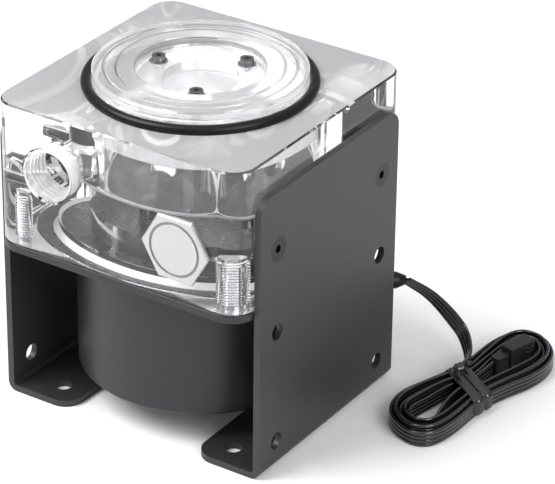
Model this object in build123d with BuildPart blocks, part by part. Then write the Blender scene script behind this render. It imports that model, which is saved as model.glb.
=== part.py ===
from build123d import *

import math
import os

# Coolant pump reservoir: a clear tank block on a canned-rotor pump, held
# between two bent side brackets. Lengths are in millimetres, +Z is up, the
# origin is on the floor under the middle of the block, -Y is the face with
# the inlet port, and the brackets stand on the +X and -X sides.

os.makedirs("parts", exist_ok=True)

# Tank block
block_size = 70.0
block_corner_radius = 6.3
block_height = 36.5
block_edge_break = 0.4

# Stack of the pump under the block
housing_clearance = 8.5
housing_height = 34.5
plate_thickness = 2.0

# Tank chamber, its mouth and the passage down to the pump
tank_radius = 24.6
tank_floor_above_base = 16.5
tank_floor_fillet = 2.0
mouth_chamfer = 2.2
mouth_radius = 25.6
eye_radius = 6.0
cut_overrun = 1.0

# Screwed ports, sized for the G1/4 thread
port_radius = 6.58
port_thread_depth = 10.0
port_chamfer = 0.5
port_duct_radius = 4.5
inlet_x = -18.9
inlet_above_base = 21.0
outlet_above_base = 8.0
outlet_duct_radius = 3.5

# Spiral pump chamber, drawn with four tangent quarter arcs
volute_start_radius = 16.5
volute_growth = 1.6
volute_depth = 6.0
flange_recess_depth = 2.3

# Screw cap, its window and its seal
cap_radius = 25.45
cap_height = 4.5
cap_edge_break = 0.5
cap_skirt_length = 5.6
cap_skirt_clearance = 0.1
cap_rest_gap = 0.2
cap_bore_radius = 9.2
cap_ring_radii = (22.7, 19.8)
cap_ring_width = 0.7
cap_ring_depth = 0.6
window_radius = 15.1
window_thickness = 2.4
window_recess = 2.3
window_dimple_radius = 0.8
window_dimple_depth = 0.3
window_screw_circle = 12.0
seal_section = 2.5
seal_stretch = 0.05

# Pump housing, separating can and motor
housing_radius = 29.8
housing_wall = 2.2
housing_top_ring = 3.5
housing_top_land = 6.3
base_thickness = 2.0
base_edge_break = 0.8
base_ring_wall = 2.0
can_flange_inset = 2.1
can_flange_thickness = 2.0
can_wall = 1.0
can_bore_radius = 9.6
can_depth = 20.5
can_seal_section = 1.5
plate_bore_lip = 1.5
core_length = 11.0
core_back_wall = 3.4
tooth_count = 6
tooth_width = 4.6
tooth_shoe_width = 9.0
tooth_shoe_depth = 1.6
tooth_overlap = 1.0
coil_thickness = 2.2
coil_overhang = 1.6
coil_flare = 5.0
coil_end_gap = 0.6
board_thickness = 1.6
board_height = 8.4
capacitor_radius = 3.1
capacitor_height = 5.4
capacitor_circle = 14.0
driver_size = 6.0
regulator_length = 5.0
regulator_width = 3.2
regulator_circle = 13.0
chip_height = 1.3
magnet_length = 13.0
magnet_clearance = 0.6
magnet_lift = 2.4

# Impeller on its shaft
shaft_radius = 1.5
shaft_socket_height = 2.0
bush_wall = 1.1
stem_wall = 2.0
impeller_radius = 14.6
impeller_disc = 1.2
impeller_disc_lift = 0.5
vane_count = 6
vane_height = 3.0
vane_thickness = 1.1
vane_inner_radius = 5.4
vane_sweep = 62.0
vane_root_angle = 12.0
vane_tip_inset = 0.3
washer_radius = 3.2
washer_thickness = 0.5
washer_play = 0.3
stem_end_play = 0.6
bush_setback = 0.4
shaft_setback = 0.2
small_edge_break = 0.3
running_fit = 0.05

# Side brackets, bent from sheet
bracket_thickness = 1.7
bracket_width = 58.6
bracket_height = 73.2
bracket_corner_radius = 4.3
bracket_bend_radius = 2.5
flange_length = 18.7
flange_corner_radius = 5.0
bracket_hole_radius = 2.15
bracket_hole_spacing = 44.2
foot_hole_spacing = 45.2
foot_hole_x = 25.0
bracket_hole_low = 7.4
bracket_hole_high = 36.9
bracket_screw_height = 58.6

# Fasteners: radius of the thread, radius of the head, and length
side_screw_radius = 1.5
side_screw_head = 3.0
side_screw_length = 8.0
corner_screw_radius = 2.0
corner_screw_head = 3.5
corner_screw_length = 9.2
corner_hole_inset = 6.4
corner_hole_depth = 13.0
plate_screw_radius = 1.25
plate_screw_head = 2.4
plate_screw_length = 5.0
plate_screw_inset = 3.6
window_screw_radius = 1.0
window_screw_head = 1.65
window_screw_head_height = 1.3
window_screw_length = 4.4
window_washer_radius = 2.2
window_washer_thickness = 0.3
thread_clearance = 0.05
hole_clearance = 0.2
seat_gap = 0.05
socket_share = 0.75

# Badge
badge_width = 16.0
badge_thickness = 1.1
badge_x = 17.7
badge_above_base = 13.7
badge_rim = 1.1
badge_groove = 0.66
badge_relief = 0.25
badge_edge_break = 0.3

# Cable, its relief, its hank on the floor and its connector
gland_azimuth = 45.0
gland_tip_reach = 50.9
gland_tip_height = 23.5
gland_drop = 4.0
gland_root_radius = 3.3
gland_collar = 1.2
gland_neck_radius = 2.6
gland_lip_gap = 0.6
gland_sleeve_radius = 2.1
gland_taper_length = 2.4
gland_tip_radius = 1.15
cable_radius = 1.0
ribbon_width = 4.1
tie_thickness = 0.5
tie_width = 2.4
tie_gap = 3.4
tie_slack = 2.9
tie_turn = -34.0
tie_reach = 17.5
near_loop = (56.0, 12.4)
far_loop = (61.4, 51.7)
hank_wall = 5.3
hank_far_wall = 4.2
left_waist_reach = 22.0
left_waist_width = 6.4
left_waist_radius = 26.0
right_waist_reach = 16.0
right_waist_width = 5.15
right_waist_radius = 30.0
connector_place = (60.5, 50.3)
connector_turn = 76.0
connector_length = 8.4
connector_height = 6.6
connector_width = 3.8
connector_cover_length = 4.2
connector_cover_height = 5.2
connector_cover_width = 3.0
connector_ways = 4
connector_pitch = 1.25
connector_way_width = 0.8
connector_way_height = 1.6
connector_way_depth = 5.4
connector_window_reach = 6.6
connector_window_step = 1.4
connector_window_length = 0.8
connector_window_height = 0.6
connector_window_depth = 0.4
connector_cover_corner = 0.8

# Route of the free stretch of cable, from its relief to the hank
cable_route = [
    (37.2, 37.5, 22.0),
    (40.0, 40.1, 19.3),
    (42.8, 42.6, 15.3),
    (46.4, 44.9, 9.7),
    (48.5, 44.7, 7.4),
    (51.2, 42.4, 4.1),
    (52.7, 38.3, 2.7),
]

# Rounds of the hank's outline and holes: along it, to its left, and the radius
near_rounds = [(-0.4, -0.6, 7.8), (4.5, 1.2, 8.5)]
far_rounds = [(35.0, -1.0, 7.9), (39.7, 0.4, 7.9)]
near_hole_tip = (12.5, 1.5, 1.4)
far_hole_tip = (28.5, 0.4, 3.0)

# Levels worked out from the sizes above
plate_bottom = housing_clearance + housing_height
block_bottom = plate_bottom + plate_thickness
block_top = block_bottom + block_height
half_block = block_size / 2
tank_floor = block_bottom + tank_floor_above_base
mouth_land = block_top - mouth_chamfer
volute_bottom = block_bottom + flange_recess_depth
volute_top = volute_bottom + volute_depth
inlet_height = block_bottom + inlet_above_base
outlet_height = block_bottom + outlet_above_base
volute_end_radius = volute_start_radius + 3 * volute_growth
outlet_x = (volute_start_radius + volute_end_radius) / 2
housing_top_bore = housing_radius - housing_top_land
plate_bore_radius = housing_top_bore - plate_bore_lip
plate_screw_circle = housing_radius - plate_screw_inset
can_flange_radius = housing_radius - can_flange_inset
front_face = Plane.XZ.offset(half_block)
rear_face = Plane.XZ.offset(-half_block)
corner_offset = half_block - corner_hole_inset
can_recess_radius = can_flange_radius + hole_clearance


def finish(builder, name):
    """Label a finished piece and write it."""
    builder.part.label = name
    export_step(builder.part, f"parts/{name}.step")


def half_outline(*points):
    """Closed half section for a revolve, points as (radius, height)."""
    Polyline(*points, close=True)


def flat_head_screw(thread_radius, head_radius, length):
    """Flat-head socket screw, the top of its head at the origin and facing up."""
    with BuildPart() as screw:
        with BuildSketch(Plane.XZ):
            with BuildLine():
                half_outline(
                    (0, 0),
                    (head_radius, 0),
                    (thread_radius, thread_radius - head_radius),
                    (thread_radius, -length),
                    (0, -length),
                )
            make_face()
        revolve(axis=Axis.Z)
        with BuildSketch():
            RegularPolygon(thread_radius * socket_share, 6)
        extrude(amount=-thread_radius * socket_share, mode=Mode.SUBTRACT)
    return screw.part


# Clear tank block with its chamber, pump recess, ports and tapped holes
with BuildPart() as tank_block:
    with BuildSketch(Plane.XY.offset(block_bottom)):
        RectangleRounded(block_size, block_size, block_corner_radius)
    extrude(amount=block_height)
    chamfer(tank_block.faces().sort_by(Axis.Z)[-1].edges(), block_edge_break)
    chamfer(tank_block.faces().sort_by(Axis.Z)[0].edges(), block_edge_break)
    with BuildSketch(Plane.XZ):
        with BuildLine():
            half_outline(
                (0, tank_floor),
                (tank_radius, tank_floor),
                (tank_radius, mouth_land),
                (mouth_radius, mouth_land),
                (mouth_radius + mouth_chamfer, block_top),
                (mouth_radius + mouth_chamfer, block_top + cut_overrun),
                (0, block_top + cut_overrun),
            )
        make_face()
    revolve(axis=Axis.Z, mode=Mode.SUBTRACT)
    fillet(
        tank_block.edges()
        .filter_by(GeomType.CIRCLE)
        .filter_by_position(Axis.Z, tank_floor - 0.1, tank_floor + 0.1)
        .sort_by(SortBy.RADIUS)[-1],
        tank_floor_fillet,
    )
    with BuildSketch(Plane.XY.offset(block_bottom)):
        Circle(can_recess_radius)
    extrude(amount=flange_recess_depth, mode=Mode.SUBTRACT)
    with BuildSketch(Plane.XY.offset(volute_bottom)):
        with BuildLine():
            centre = Vector(-volute_growth / 2, volute_growth / 2)
            arcs = []
            for quarter in range(4):
                radius = volute_start_radius + quarter * volute_growth
                arcs.append(CenterArc(centre, radius, 90 * quarter, 90))
                turn = math.radians(90 * (quarter + 1))
                centre -= Vector(math.cos(turn), math.sin(turn)) * volute_growth
            Line(arcs[-1] @ 1, arcs[0] @ 0)
        make_face()
    extrude(amount=volute_depth, mode=Mode.SUBTRACT)
    with BuildSketch(Plane.XY.offset(volute_top)):
        Circle(eye_radius)
    extrude(amount=tank_floor - volute_top, mode=Mode.SUBTRACT)
    with BuildSketch(front_face):
        with Locations((inlet_x, inlet_height)):
            Circle(port_radius)
    extrude(amount=-port_thread_depth, mode=Mode.SUBTRACT)
    with BuildSketch(front_face):
        with Locations((inlet_x, inlet_height)):
            Circle(port_duct_radius)
    extrude(amount=-(half_block - tank_radius / 2), mode=Mode.SUBTRACT)
    with BuildSketch(rear_face):
        with Locations((outlet_x, outlet_height)):
            Circle(port_radius)
    extrude(amount=port_thread_depth, mode=Mode.SUBTRACT)
    with BuildSketch(rear_face):
        with Locations((outlet_x, outlet_height)):
            Circle(outlet_duct_radius)
    extrude(amount=half_block - volute_growth, mode=Mode.SUBTRACT)
    chamfer(
        tank_block.edges()
        .filter_by(GeomType.CIRCLE)
        .filter_by(lambda edge: abs(abs(edge.center().Y) - half_block) < 0.01
                   and abs(edge.radius - port_radius) < 0.01),
        port_chamfer,
    )
    with BuildSketch(Plane.XY.offset(block_bottom)):
        with GridLocations(2 * corner_offset, 2 * corner_offset, 2, 2):
            Circle(corner_screw_radius + thread_clearance)
    extrude(amount=corner_hole_depth, mode=Mode.SUBTRACT)
    for side in (-1, 1):
        with BuildSketch(Plane.YZ.offset(side * half_block)):
            for end in (-1, 1):
                with Locations((end * bracket_hole_spacing / 2, bracket_screw_height)):
                    Circle(side_screw_radius + thread_clearance)
        extrude(amount=-side * side_screw_length, mode=Mode.SUBTRACT)
finish(tank_block, "tank_block")

# Screw cap: ring with a plain core under its thread and turned steps on top
cap_top = block_top + cap_height
cap_shoulder = mouth_land + cap_rest_gap
skirt_radius = tank_radius - cap_skirt_clearance
skirt_bottom = cap_shoulder - cap_skirt_length
ledge_height = cap_top - window_recess - window_thickness
window_recess_radius = window_radius + hole_clearance
window_screw_grip = window_screw_length - window_thickness + hole_clearance
with BuildPart() as tank_cap:
    with BuildSketch(Plane.XZ):
        with BuildLine():
            half_outline(
                (cap_bore_radius, skirt_bottom),
                (skirt_radius, skirt_bottom),
                (skirt_radius, cap_shoulder),
                (cap_radius, cap_shoulder),
                (cap_radius, cap_top - cap_edge_break),
                (cap_radius - cap_edge_break, cap_top),
                (window_recess_radius, cap_top),
                (window_recess_radius, ledge_height),
                (cap_bore_radius, ledge_height),
            )
        make_face()
    revolve(axis=Axis.Z)
    with BuildSketch(Plane.XY.offset(cap_top)):
        for radius in cap_ring_radii:
            Circle(radius + cap_ring_width / 2)
            Circle(radius - cap_ring_width / 2, mode=Mode.SUBTRACT)
    extrude(amount=-cap_ring_depth, mode=Mode.SUBTRACT)
    with BuildSketch(Plane.XY.offset(ledge_height)):
        with PolarLocations(window_screw_circle, 3, start_angle=60):
            Circle(window_screw_radius + thread_clearance)
    extrude(amount=-window_screw_grip, mode=Mode.SUBTRACT)
finish(tank_cap, "tank_cap")

# Round window set in the cap
with BuildPart() as cap_window:
    with BuildSketch(Plane.XY.offset(ledge_height)):
        Circle(window_radius)
        with PolarLocations(window_screw_circle, 3, start_angle=60):
            Circle(window_screw_radius + hole_clearance, mode=Mode.SUBTRACT)
    extrude(amount=window_thickness)
    with BuildSketch(Plane.XY.offset(ledge_height + window_thickness)):
        Circle(window_dimple_radius)
    extrude(amount=-window_dimple_depth, mode=Mode.SUBTRACT)
finish(cap_window, "cap_window")

# Three small socket screws that hold the window, and their washers
window_top = ledge_height + window_thickness
with BuildPart() as cap_washers:
    with BuildSketch(Plane.XY.offset(window_top)):
        with PolarLocations(window_screw_circle, 3, start_angle=60):
            Circle(window_washer_radius)
            Circle(window_screw_radius + hole_clearance, mode=Mode.SUBTRACT)
    extrude(amount=window_washer_thickness)
finish(cap_washers, "cap_washers")

head_seat = window_top + window_washer_thickness
with BuildPart() as cap_screws:
    with BuildSketch(Plane.XY.offset(head_seat)):
        with PolarLocations(window_screw_circle, 3, start_angle=60):
            Circle(window_screw_head)
    extrude(amount=window_screw_head_height)
    with BuildSketch(Plane.XY.offset(head_seat)):
        with PolarLocations(window_screw_circle, 3, start_angle=60):
            Circle(window_screw_radius)
    extrude(amount=-window_screw_length)
    with BuildSketch(Plane.XY.offset(head_seat + window_screw_head_height)):
        with PolarLocations(window_screw_circle, 3, start_angle=60):
            RegularPolygon(window_screw_radius * socket_share, 6)
    extrude(amount=-window_screw_head_height / 2, mode=Mode.SUBTRACT)
finish(cap_screws, "cap_screws")

# Round seal stretched over the neck of the cap, seated in the chamfered mouth
seal_centre_radius = cap_radius + seal_stretch + seal_section / 2
chamfer_reach = (seal_section / 2 + seat_gap) * math.sqrt(2)
seal_height = mouth_land + seal_centre_radius - mouth_radius + chamfer_reach
with BuildPart() as cap_seal:
    with BuildSketch(Plane.XZ):
        with Locations((seal_centre_radius, seal_height)):
            Circle(seal_section / 2)
    revolve(axis=Axis.Z)
finish(cap_seal, "cap_seal")

# Square plate between the block and the pump housing
with BuildPart() as pump_plate:
    with BuildSketch(Plane.XY.offset(plate_bottom)):
        RectangleRounded(block_size, block_size, block_corner_radius)
        Circle(plate_bore_radius, mode=Mode.SUBTRACT)
    extrude(amount=plate_thickness)
    with Locations(Plane(origin=(0, 0, plate_bottom), z_dir=(0, 0, -1))):
        with GridLocations(2 * corner_offset, 2 * corner_offset, 2, 2):
            CounterSinkHole(
                corner_screw_radius + hole_clearance,
                corner_screw_head + thread_clearance,
                counter_sink_angle=90,
            )
    with Locations(Plane.XY.offset(block_bottom)):
        with PolarLocations(plate_screw_circle, 4):
            CounterSinkHole(
                plate_screw_radius + hole_clearance,
                plate_screw_head + thread_clearance,
                counter_sink_angle=90,
            )
finish(pump_plate, "pump_plate")

# Flat-head screws up through the plate into the block's corners
corner_screw = flat_head_screw(corner_screw_radius, corner_screw_head, corner_screw_length)
with BuildPart() as corner_screws:
    with Locations(Plane(origin=(0, 0, plate_bottom + seat_gap), z_dir=(0, 0, -1))):
        with GridLocations(2 * corner_offset, 2 * corner_offset, 2, 2):
            add(corner_screw)
finish(corner_screws, "corner_screws")

# Turned cable relief axis, which the housing wall is drilled for
azimuth = math.radians(gland_azimuth)
drop = math.radians(gland_drop)
gland_direction = Vector(
    math.cos(azimuth) * math.cos(drop),
    math.sin(azimuth) * math.cos(drop),
    -math.sin(drop),
)
gland_tip = Vector(
    gland_tip_reach * math.cos(azimuth),
    gland_tip_reach * math.sin(azimuth),
    gland_tip_height,
)
gland_length = (gland_tip_reach - housing_radius) / math.cos(drop)
gland_root = gland_tip - gland_direction * gland_length
gland_axis = Axis(gland_root, gland_direction)
gland_side = (math.sin(azimuth), -math.cos(azimuth), 0)
gland_section = Plane(origin=gland_root, x_dir=gland_direction, z_dir=gland_side)
gland_circle = Plane(origin=gland_root, z_dir=gland_direction)

# Pump housing: a tube with a thick ring at its mouth
housing_bore = housing_radius - housing_wall
shell_bottom = housing_clearance + base_thickness
ring_bottom = plate_bottom - housing_top_ring
with BuildPart() as housing_shell:
    with BuildSketch(Plane.XY.offset(shell_bottom)):
        Circle(housing_radius)
        Circle(housing_bore, mode=Mode.SUBTRACT)
    extrude(amount=plate_bottom - shell_bottom)
    with BuildSketch(Plane.XY.offset(ring_bottom)):
        Circle(housing_bore + housing_wall / 2)
        Circle(housing_top_bore, mode=Mode.SUBTRACT)
        with PolarLocations(plate_screw_circle, 4):
            Circle(plate_screw_radius + thread_clearance, mode=Mode.SUBTRACT)
    extrude(amount=housing_top_ring)
    with BuildSketch(gland_circle):
        Circle(gland_neck_radius + thread_clearance)
    extrude(amount=2 * housing_wall, both=True, mode=Mode.SUBTRACT)
finish(housing_shell, "housing_shell")

# Flat-head screws that fasten the plate to the housing ring
plate_screw = flat_head_screw(plate_screw_radius, plate_screw_head, plate_screw_length)
with BuildPart() as plate_screws:
    with Locations(Plane.XY.offset(block_bottom - seat_gap)):
        with PolarLocations(plate_screw_circle, 4):
            add(plate_screw)
finish(plate_screws, "plate_screws")

# Base cover with the ring that carries the circuit board
base_ring_radius = housing_bore - hole_clearance
board_bottom = shell_bottom + board_height
with BuildPart() as housing_base:
    with BuildSketch(Plane.XY.offset(housing_clearance)):
        Circle(housing_radius)
    extrude(amount=base_thickness)
    chamfer(housing_base.edges().group_by(Axis.Z)[0], base_edge_break)
    with BuildSketch(Plane.XY.offset(shell_bottom)):
        Circle(base_ring_radius)
        Circle(base_ring_radius - base_ring_wall, mode=Mode.SUBTRACT)
    extrude(amount=board_height)
finish(housing_base, "housing_base")

# Circuit board and what is soldered on it
board_radius = base_ring_radius - thread_clearance
board_top = board_bottom + board_thickness
with BuildPart() as circuit_board:
    with BuildSketch(Plane.XY.offset(board_bottom)):
        Circle(board_radius)
    extrude(amount=board_thickness)
finish(circuit_board, "circuit_board")

with BuildPart() as board_components:
    with BuildSketch(Plane.XY.offset(board_bottom)):
        with PolarLocations(capacitor_circle, 3):
            Circle(capacitor_radius)
    extrude(amount=-capacitor_height)
    with BuildSketch(Plane.XY.offset(board_bottom)):
        Rectangle(driver_size, driver_size)
        with PolarLocations(regulator_circle, 3, start_angle=60):
            Rectangle(regulator_length, regulator_width)
    extrude(amount=-chip_height)
finish(board_components, "board_components")

# Separating can: a dry-side cup for the rotor under a sealing flange
flange_top = block_bottom + can_flange_thickness
cup_radius = can_bore_radius + can_wall
cup_bottom = block_bottom - can_depth
cup_floor = cup_bottom + can_wall
socket_top = cup_floor + shaft_socket_height
can_seal_radius = (volute_end_radius + volute_growth / 2 + can_flange_radius) / 2
can_groove_depth = can_seal_section + 2 * seat_gap - (flange_recess_depth - can_flange_thickness)
with BuildPart() as separating_can:
    with BuildSketch(Plane.XZ):
        with BuildLine():
            half_outline(
                (0, cup_bottom),
                (cup_radius, cup_bottom),
                (cup_radius, block_bottom),
                (can_flange_radius, block_bottom),
                (can_flange_radius, flange_top),
                (can_bore_radius, flange_top),
                (can_bore_radius, cup_floor),
                (2 * shaft_radius, cup_floor),
                (2 * shaft_radius, socket_top),
                (0, socket_top),
            )
        make_face()
    revolve(axis=Axis.Z)
    with BuildSketch(Plane.XY.offset(cup_floor)):
        Circle(shaft_radius + running_fit / 2)
    extrude(amount=shaft_socket_height, mode=Mode.SUBTRACT)
    with BuildSketch(Plane.XY.offset(flange_top)):
        Circle(can_seal_radius + can_seal_section / 2 + seat_gap)
        Circle(can_seal_radius - can_seal_section / 2 - seat_gap, mode=Mode.SUBTRACT)
    extrude(amount=-can_groove_depth, mode=Mode.SUBTRACT)
finish(separating_can, "separating_can")

# Square-section seal between the can's flange and the block
with BuildPart() as can_seal:
    with BuildSketch(Plane.XY.offset(volute_bottom - seat_gap)):
        Circle(can_seal_radius + can_seal_section / 2)
        Circle(can_seal_radius - can_seal_section / 2, mode=Mode.SUBTRACT)
    extrude(amount=-can_seal_section)
finish(can_seal, "can_seal")

# Stator: ring of laminations with six inward teeth
core_radius = housing_bore - thread_clearance
core_top = ring_bottom
core_bottom = core_top - core_length
core_bore = cup_radius + hole_clearance
back_radius = core_radius - core_back_wall
with BuildPart() as stator_core:
    with BuildSketch(Plane.XY.offset(core_bottom)):
        Circle(core_radius)
        Circle(back_radius, mode=Mode.SUBTRACT)
        with PolarLocations((core_bore + back_radius + tooth_overlap) / 2, tooth_count):
            Rectangle(back_radius + tooth_overlap - core_bore, tooth_width)
        with PolarLocations(core_bore + tooth_shoe_depth / 2, tooth_count):
            Rectangle(tooth_shoe_depth + tooth_overlap, tooth_shoe_width)
        Circle(core_bore, mode=Mode.SUBTRACT)
    extrude(amount=core_length)
finish(stator_core, "stator_core")

# One wound coil round each tooth
coil_inner = core_bore + tooth_shoe_depth + coil_end_gap
coil_outer = min(back_radius, housing_top_bore) - coil_end_gap
with BuildPart() as stator_coils:
    for tooth in range(tooth_count):
        angle = 360 / tooth_count * tooth
        direction = Vector(1, 0, 0).rotate(Axis.Z, angle)
        middle = (core_bottom + core_top) / 2
        coil_plane = Plane(
            origin=direction * coil_inner + Vector(0, 0, middle),
            x_dir=Vector(0, 1, 0).rotate(Axis.Z, angle),
            z_dir=direction,
        )
        with BuildSketch(coil_plane):
            RectangleRounded(
                tooth_width + 2 * coil_thickness,
                core_length + 2 * coil_overhang,
                coil_overhang,
            )
        extrude(amount=coil_outer - coil_inner, taper=-coil_flare)
        with BuildSketch(coil_plane):
            Rectangle(tooth_width + 2 * seat_gap, core_length + 2 * seat_gap)
        extrude(amount=coil_outer - coil_inner, mode=Mode.SUBTRACT)
finish(stator_coils, "stator_coils")

# Fixed shaft, and the carbon bush that runs on it
disc_bottom = flange_top + impeller_disc_lift
disc_top = disc_bottom + impeller_disc
stem_bottom = socket_top + stem_end_play
shaft_top = disc_top + vane_height - shaft_setback
with BuildPart() as rotor_shaft:
    with BuildSketch(Plane.XY.offset(cup_floor)):
        Circle(shaft_radius)
    extrude(amount=shaft_top - cup_floor)
    chamfer(rotor_shaft.edges().group_by(Axis.Z)[-1], small_edge_break)
finish(rotor_shaft, "rotor_shaft")

bush_radius = shaft_radius + running_fit + bush_wall
bush_top = disc_top - bush_setback
with BuildPart() as rotor_bush:
    with BuildSketch(Plane.XY.offset(stem_bottom)):
        Circle(bush_radius)
        Circle(shaft_radius + running_fit, mode=Mode.SUBTRACT)
    extrude(amount=bush_top - stem_bottom)
finish(rotor_bush, "rotor_bush")

# Retaining washer pressed on the shaft above the impeller hub
washer_bottom = disc_top + washer_play
with BuildPart() as shaft_washer:
    with BuildSketch(Plane.XY.offset(washer_bottom)):
        Circle(washer_radius)
        Circle(shaft_radius + running_fit / 2, mode=Mode.SUBTRACT)
    extrude(amount=washer_thickness)
finish(shaft_washer, "shaft_washer")

# One swept vane of the impeller
vane_root = Vector(vane_inner_radius, 0)
vane_reach = impeller_radius - vane_tip_inset - vane_thickness / 2
vane_tip = Vector(vane_reach, 0).rotate(Axis.Z, -vane_sweep)
with BuildPart() as vane:
    with BuildSketch(Plane.XY.offset(disc_top)):
        with BuildLine():
            TangentArc(vane_root, vane_tip, tangent=Vector(1, 0).rotate(Axis.Z, -vane_root_angle))
            offset(amount=vane_thickness / 2)
        make_face()
    extrude(amount=vane_height)

# Impeller with swept vanes on a disc, moulded on its stem
stem_radius = bush_radius + seat_gap + stem_wall
with BuildPart() as impeller:
    with BuildSketch(Plane.XY.offset(stem_bottom)):
        Circle(stem_radius)
    extrude(amount=disc_bottom - stem_bottom)
    with BuildSketch(Plane.XY.offset(disc_bottom)):
        Circle(impeller_radius)
    extrude(amount=impeller_disc)
    with PolarLocations(0, vane_count):
        add(vane)
    with BuildSketch(Plane.XY.offset(stem_bottom)):
        Circle(bush_radius + seat_gap)
    extrude(amount=disc_top - stem_bottom, mode=Mode.SUBTRACT)
finish(impeller, "impeller")

# Ring magnet on the impeller's stem
magnet_radius = can_bore_radius - magnet_clearance
magnet_bottom = stem_bottom + magnet_lift
with BuildPart() as rotor_magnet:
    with BuildSketch(Plane.XY.offset(magnet_bottom)):
        Circle(magnet_radius)
        Circle(stem_radius + seat_gap, mode=Mode.SUBTRACT)
    extrude(amount=magnet_length)
    chamfer(
        rotor_magnet.edges().filter_by(GeomType.CIRCLE).sort_by(SortBy.RADIUS)[-2:],
        small_edge_break,
    )
finish(rotor_magnet, "rotor_magnet")

# Side brackets: one L of sheet on each side, its foot turned inwards
bracket_outer = half_block + bracket_thickness


def make_bracket(side):
    """Bent bracket on the +X side, mirrored for the -X side."""
    with BuildPart() as bracket:
        with BuildSketch(Plane.XZ):
            with BuildLine():
                Polyline(
                    (half_block, bracket_height),
                    (bracket_outer, bracket_height),
                    (bracket_outer, 0),
                    (bracket_outer - flange_length, 0),
                    (bracket_outer - flange_length, bracket_thickness),
                    (half_block, bracket_thickness),
                    close=True,
                )
            make_face()
        extrude(amount=bracket_width / 2, both=True)
        along = bracket.edges().filter_by(Axis.Y)
        outer_bend = along.group_by(Axis.Z)[0].sort_by(Axis.X)[-1]
        inner_edges = along.filter_by(lambda edge: abs(edge.center().X - half_block) < 0.01)
        inner_bend = inner_edges.sort_by(Axis.Z)[0]
        fillet(outer_bend, bracket_bend_radius)
        fillet(inner_bend, bracket_bend_radius - bracket_thickness)
        top_corners = bracket.edges().filter_by(Axis.X).group_by(Axis.Z)[-1]
        fillet(top_corners, bracket_corner_radius)
        foot_corners = bracket.edges().filter_by(Axis.Z).group_by(Axis.X)[0]
        fillet(foot_corners, flange_corner_radius)
        with BuildSketch(Plane.YZ.offset(bracket_outer)):
            with Locations((0, (bracket_hole_low + bracket_hole_high) / 2)):
                with GridLocations(bracket_hole_spacing, bracket_hole_high - bracket_hole_low, 2, 2):
                    Circle(bracket_hole_radius)
        extrude(amount=-bracket_thickness, mode=Mode.SUBTRACT)
        with BuildSketch(Plane.XY):
            with Locations((foot_hole_x, 0)):
                with GridLocations(0, foot_hole_spacing, 1, 2):
                    Circle(bracket_hole_radius)
        extrude(amount=bracket_thickness, mode=Mode.SUBTRACT)
        with Locations(Plane.YZ.offset(bracket_outer)):
            with Locations((0, bracket_screw_height)):
                with GridLocations(bracket_hole_spacing, 0, 2, 1):
                    CounterSinkHole(
                        side_screw_radius + hole_clearance,
                        side_screw_head + thread_clearance,
                        counter_sink_angle=90,
                    )
        if side < 0:
            mirror(about=Plane.YZ, mode=Mode.REPLACE)
    return bracket


right_bracket = make_bracket(1)
finish(right_bracket, "right_bracket")
left_bracket = make_bracket(-1)
finish(left_bracket, "left_bracket")

# Flat-head socket screws through the brackets into the block
side_screw = flat_head_screw(side_screw_radius, side_screw_head, side_screw_length)
with BuildPart() as bracket_screws:
    for side in (-1, 1):
        head_plane = Plane(
            origin=(side * (bracket_outer - seat_gap), 0, bracket_screw_height),
            x_dir=(0, 1, 0),
            z_dir=(side, 0, 0),
        )
        with Locations(head_plane):
            with GridLocations(bracket_hole_spacing, 0, 2, 1):
                add(side_screw)
finish(bracket_screws, "bracket_screws")

# Plain six-sided badge with a raised rim
with BuildPart() as front_badge:
    badge_height = block_bottom + badge_above_base
    badge_radius = badge_width / 2
    with BuildSketch(front_face):
        with Locations((badge_x, badge_height)):
            RegularPolygon(badge_radius, 6, major_radius=False, rotation=0)
    extrude(amount=badge_thickness)
    chamfer(front_badge.faces().sort_by(Axis.Y)[0].edges(), badge_edge_break)
    with BuildSketch(front_face.offset(badge_thickness)):
        with Locations((badge_x, badge_height)):
            Circle(badge_radius - badge_rim)
            Circle(badge_radius - badge_rim - badge_groove, mode=Mode.SUBTRACT)
    extrude(amount=-badge_relief, mode=Mode.SUBTRACT)
finish(front_badge, "front_badge")

# Tapered rubber relief in the housing wall
with BuildPart() as cable_gland:
    with BuildSketch(gland_section):
        with BuildLine():
            Polyline(
                (-housing_wall - gland_lip_gap - gland_collar, 0),
                (-housing_wall - gland_lip_gap - gland_collar, gland_root_radius),
                (-housing_wall - gland_lip_gap, gland_root_radius),
                (-housing_wall - gland_lip_gap, gland_neck_radius),
                (gland_lip_gap, gland_neck_radius),
                (gland_lip_gap, gland_root_radius),
                (gland_lip_gap + gland_collar, gland_root_radius),
                (gland_lip_gap + gland_collar, gland_sleeve_radius),
                (gland_length - gland_taper_length, gland_sleeve_radius),
                (gland_length, gland_tip_radius),
                (gland_length, 0),
                close=True,
            )
        make_face()
    revolve(axis=gland_axis)
finish(cable_gland, "cable_gland")

# Hank: the closed outer form of the wound ribbon, pinched at its tie
hank_bottom = tie_thickness + seat_gap
near_point = Vector(*near_loop)
far_point = Vector(*far_loop)
along_hank = (far_point - near_point).normalized()
hank_angle = math.degrees(math.atan2(along_hank.Y, along_hank.X))
hank_plane = Plane(
    origin=near_point + Vector(0, 0, hank_bottom),
    x_dir=along_hank,
    z_dir=(0, 0, 1),
)


def around(rounds):
    """Outline drawn tightly round a few circles."""
    with BuildSketch() as outline:
        for along, across, radius in rounds:
            with Locations((along, across)):
                Circle(radius)
        make_hull()
    return outline.sketch


def inset(rounds, wall):
    """The same circles with a wall taken off their radius."""
    return [(along, across, radius - wall) for along, across, radius in rounds]


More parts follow.
